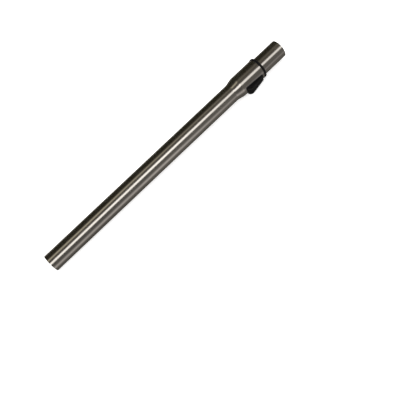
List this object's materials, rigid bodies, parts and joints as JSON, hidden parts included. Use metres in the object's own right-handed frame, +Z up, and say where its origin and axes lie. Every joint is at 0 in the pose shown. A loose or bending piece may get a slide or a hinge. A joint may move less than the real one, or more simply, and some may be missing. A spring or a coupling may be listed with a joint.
{
  "type": "telescopic vacuum wand",
  "caption": "Telescopic steel suction wand with a swaged locking head, rocker release button, black mouth ring and a sliding inner tube that ends in a hose socket.",
  "frame": {"origin": "middle of the collapsed wand's box, on the floor it lies on", "axes": "+X along the wand towards the hose socket, +Z up, the release button towards -Y"},
  "size_m": [0.5788, 0.0494, 0.043],
  "materials": {
    "tube_steel": "polished, chrome plated steel tube",
    "black_plastic": "fine matte moulded",
    "sleeve_plastic": "smooth moulded",
    "pin_steel": "ground",
    "spring_steel": "drawn wire",
    "seal_rubber": "soft matte"
  },
  "bodies": {
    "lower_wand": {"outer_tube": "tube_steel", "guide_sleeve": "sleeve_plastic", "mouth_ring": "black_plastic", "button_spring": "spring_steel"},
    "upper_wand": {"inner_tube": "tube_steel", "end_bush": "sleeve_plastic", "end_seal": "seal_rubber"},
    "button": {"release_button": "black_plastic", "pivot_pin": "pin_steel", "lock_pin": "pin_steel"}
  },
  "joints": [
    {"name": "tube_slide", "type": "slide", "parent": "lower_wand", "child": "upper_wand", "axis": [1, 0, 0.0077], "range_m": [0, 0.378]},
    {"name": "button_press", "type": "hinge", "parent": "lower_wand", "child": "button", "pos_m": [0.20882, -0.01297, 0.0115], "axis": [0.0066, 0.5213, -0.8534], "range_deg": [0, 8], "stiffness_Nm_per_rad": 0.6, "springref_deg": -8.31, "deforming": ["button_spring"]}
  ]
}
